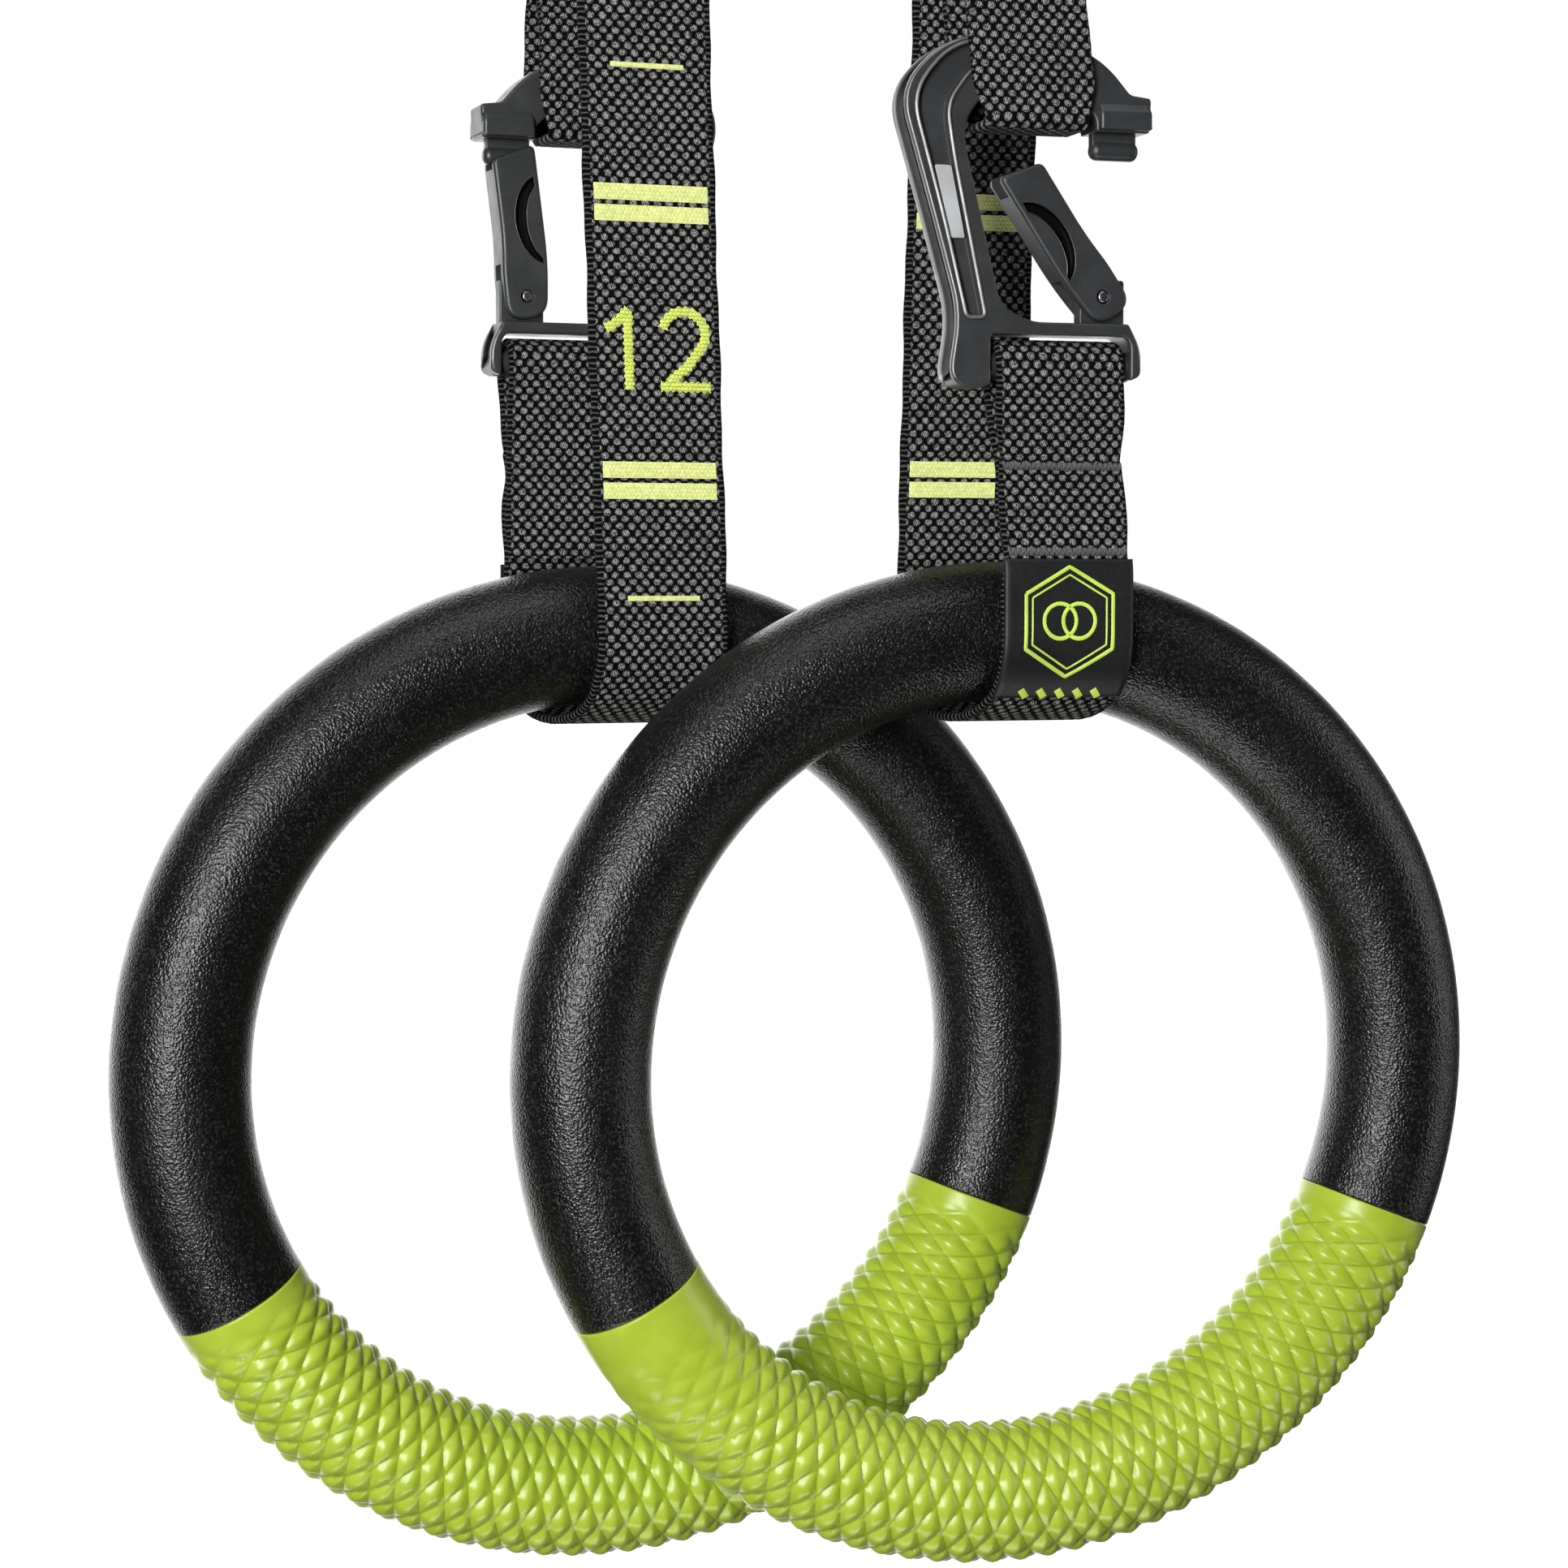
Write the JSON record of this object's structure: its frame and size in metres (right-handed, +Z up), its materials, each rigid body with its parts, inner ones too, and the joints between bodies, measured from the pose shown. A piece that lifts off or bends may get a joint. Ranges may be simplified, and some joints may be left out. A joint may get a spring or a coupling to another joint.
{
  "type": "gymnastics rings",
  "caption": "Gymnastics rings: black textured hoops with a quilted lime grip, each hung on a numbered webbing strap closed by a gated clip-in buckle.",
  "frame": {"origin": "seat of the left strap: the middle of the underside of its top turn, where it bears on the bar", "axes": "+Z up, +X from the left ring to the right one along the bars, +Y to the rear, away from the buckle of the right strap"},
  "size_m": [0.3198, 0.0952, 0.4294],
  "materials": {
    "shell": "fine leather-grain moulding",
    "grip": "soft quilted grip",
    "core": "plain moulding",
    "webbing": "coarse two-tone weave",
    "label": "smooth patch",
    "buckle": "dark satin coating",
    "inset": "pale satin",
    "steel": "bright"
  },
  "bodies": {
    "hangers": {"left_strap_top_turn": "webbing", "right_strap_top_turn": "webbing"},
    "left_strap": {"left_strap_long": "webbing", "left_strap_tail": "webbing", "left_clip_loop": "webbing", "left_label_patch": "label", "left_buckle_body": "buckle", "left_gate_pin": "steel", "left_spine_inset": "inset"},
    "left_hoop": {"left_ring_core": "core"},
    "left_ring": {"left_ring_shell": "shell", "left_ring_grip": "grip"},
    "left_gate": {"left_gate": "buckle", "left_gate_spring": "steel", "left_spring_plunger": "steel"},
    "right_strap": {"right_strap_long": "webbing", "right_strap_tail": "webbing", "right_clip_loop": "webbing", "right_label_patch": "label", "right_buckle_body": "buckle", "right_gate_pin": "steel", "right_spine_inset": "inset"},
    "right_hoop": {"right_ring_core": "core"},
    "right_ring": {"right_ring_shell": "shell", "right_ring_grip": "grip"},
    "right_gate": {"right_gate": "buckle", "right_gate_spring": "steel", "right_spring_plunger": "steel"}
  },
  "joints": [
    {"name": "left_swing", "type": "hinge", "parent": "hangers", "child": "left_strap", "pos_m": [0, 0, -0.019], "axis": [0.9994, 0.0349, 0], "range_deg": [0, 20]},
    {"name": "left_ring_tilt", "type": "hinge", "parent": "left_strap", "child": "left_hoop", "pos_m": [0, 0, -0.2075], "axis": [0.9994, 0.0349, 0], "range_deg": [0, 28]},
    {"name": "left_ring_spin", "type": "hinge", "parent": "left_hoop", "child": "left_ring", "pos_m": [0, 0, -0.309], "axis": [0.0349, -0.9994, 0], "continuous": true},
    {"name": "left_gate_hinge", "type": "hinge", "parent": "left_strap", "child": "left_gate", "pos_m": [-0.01499, 0.01949, -0.1276], "axis": [-0.0349, 0.9994, 0], "range_deg": [0, 41], "stiffness_Nm_per_rad": 0.02, "springref_deg": -8.59},
    {"name": "right_swing", "type": "hinge", "parent": "hangers", "child": "right_strap", "pos_m": [0.085, -0.039, -0.018], "axis": [-0.9994, 0.0349, 0], "range_deg": [0, 20]},
    {"name": "right_ring_tilt", "type": "hinge", "parent": "right_strap", "child": "right_hoop", "pos_m": [0.085, -0.039, -0.2065], "axis": [-0.9994, 0.0349, 0], "range_deg": [0, 28]},
    {"name": "right_ring_spin", "type": "hinge", "parent": "right_hoop", "child": "right_ring", "pos_m": [0.085, -0.039, -0.308], "axis": [0.0349, 0.9994, 0], "continuous": true},
    {"name": "right_gate_hinge", "type": "hinge", "parent": "right_strap", "child": "right_gate", "pos_m": [0.09859, -0.05949, -0.1311], "axis": [0.0349, 0.9994, 0], "range_deg": [0, 41]}
  ]
}
